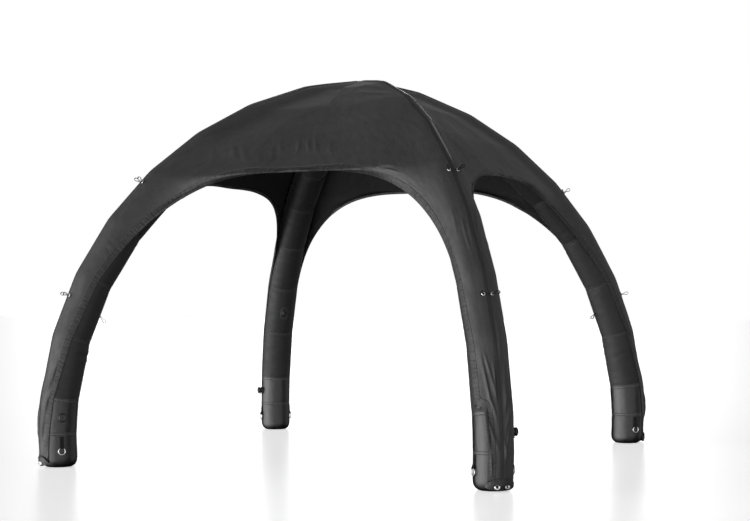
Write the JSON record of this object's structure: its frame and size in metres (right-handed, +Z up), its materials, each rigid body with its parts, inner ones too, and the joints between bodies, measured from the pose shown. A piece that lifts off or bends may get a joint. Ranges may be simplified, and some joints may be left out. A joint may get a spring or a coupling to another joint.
{
  "type": "promotional dome tent",
  "caption": "Inflatable dome tent: bent air legs cross at the crown and carry a fitted cover that arches open on every side.",
  "frame": {"origin": "on the ground under the crown, in the middle of the four feet", "axes": "+Z up; -Y is the front, the side nearest the camera; +X is the right side seen from the front"},
  "size_m": [3.1534, 3.1534, 2.5479],
  "materials": {
    "cover_cloth": "black coated polyester with a soft sheen",
    "tube_cloth": "black coated polyester, matte",
    "boot_vinyl": "black vinyl-coated cloth, satin",
    "black_webbing": "woven webbing",
    "valve_plastic": "moulded, satin",
    "bright_steel": "polished"
  },
  "bodies": {
    "tent": {"boot_front_right": "boot_vinyl", "boot_back_right": "boot_vinyl", "boot_back_left": "boot_vinyl", "boot_front_left": "boot_vinyl", "air_tube_front_right": "tube_cloth", "air_tube_back_right": "tube_cloth", "air_tube_back_left": "tube_cloth", "air_tube_front_left": "tube_cloth", "eyelet_flap_front_right": "boot_vinyl", "eyelet_flap_back_right": "boot_vinyl", "eyelet_flap_back_left": "boot_vinyl", "eyelet_flap_front_left": "boot_vinyl", "canopy_front": "cover_cloth", "canopy_right": "cover_cloth", "canopy_back": "cover_cloth", "canopy_left": "cover_cloth", "inflation_valve_front_right": "valve_plastic", "inflation_valve_back_right": "valve_plastic", "inflation_valve_back_left": "valve_plastic", "inflation_valve_front_left": "valve_plastic", "relief_valve": "valve_plastic", "anchor_loop_front_right_1": "black_webbing", "anchor_loop_front_right_2": "black_webbing", "anchor_loop_back_right_1": "black_webbing", "anchor_loop_back_right_2": "black_webbing", "anchor_loop_back_left_1": "black_webbing", "anchor_loop_back_left_2": "black_webbing", "anchor_loop_front_left_1": "black_webbing", "anchor_loop_front_left_2": "black_webbing", "tie_out_low_front_right": "bright_steel", "tie_out_low_back_right": "bright_steel", "tie_out_low_back_left": "bright_steel", "tie_out_low_front_left": "bright_steel", "tie_out_high_front_right": "bright_steel", "tie_out_high_back_right": "bright_steel", "tie_out_high_back_left": "bright_steel", "tie_out_high_front_left": "bright_steel"},
    "ring_front_right_1": {"anchor_ring_front_right_1": "bright_steel"},
    "ring_front_right_2": {"anchor_ring_front_right_2": "bright_steel"},
    "ring_back_right_1": {"anchor_ring_back_right_1": "bright_steel"},
    "ring_back_right_2": {"anchor_ring_back_right_2": "bright_steel"},
    "ring_back_left_1": {"anchor_ring_back_left_1": "bright_steel"},
    "ring_back_left_2": {"anchor_ring_back_left_2": "bright_steel"},
    "ring_front_left_1": {"anchor_ring_front_left_1": "bright_steel"},
    "ring_front_left_2": {"anchor_ring_front_left_2": "bright_steel"}
  },
  "joints": [
    {"name": "ring_front_right_1_swing", "type": "hinge", "parent": "tent", "child": "ring_front_right_1", "pos_m": [1.53937, -1.36627, 0.124], "axis": [0.7071, -0.7071, 0], "range_deg": [0, 100]},
    {"name": "ring_front_right_2_swing", "type": "hinge", "parent": "tent", "child": "ring_front_right_2", "pos_m": [1.36627, -1.53937, 0.124], "axis": [-0.7071, 0.7071, 0], "range_deg": [0, 100]},
    {"name": "ring_back_right_1_swing", "type": "hinge", "parent": "tent", "child": "ring_back_right_1", "pos_m": [1.36627, 1.53937, 0.124], "axis": [0.7071, 0.7071, 0], "range_deg": [0, 100]},
    {"name": "ring_back_right_2_swing", "type": "hinge", "parent": "tent", "child": "ring_back_right_2", "pos_m": [1.53937, 1.36627, 0.124], "axis": [-0.7071, -0.7071, 0], "range_deg": [0, 100]},
    {"name": "ring_back_left_1_swing", "type": "hinge", "parent": "tent", "child": "ring_back_left_1", "pos_m": [-1.53937, 1.36627, 0.124], "axis": [-0.7071, 0.7071, 0], "range_deg": [0, 100]},
    {"name": "ring_back_left_2_swing", "type": "hinge", "parent": "tent", "child": "ring_back_left_2", "pos_m": [-1.36627, 1.53937, 0.124], "axis": [0.7071, -0.7071, 0], "range_deg": [0, 100]},
    {"name": "ring_front_left_1_swing", "type": "hinge", "parent": "tent", "child": "ring_front_left_1", "pos_m": [-1.36627, -1.53937, 0.124], "axis": [-0.7071, -0.7071, 0], "range_deg": [0, 100]},
    {"name": "ring_front_left_2_swing", "type": "hinge", "parent": "tent", "child": "ring_front_left_2", "pos_m": [-1.53937, -1.36627, 0.124], "axis": [0.7071, 0.7071, 0], "range_deg": [0, 100]}
  ]
}
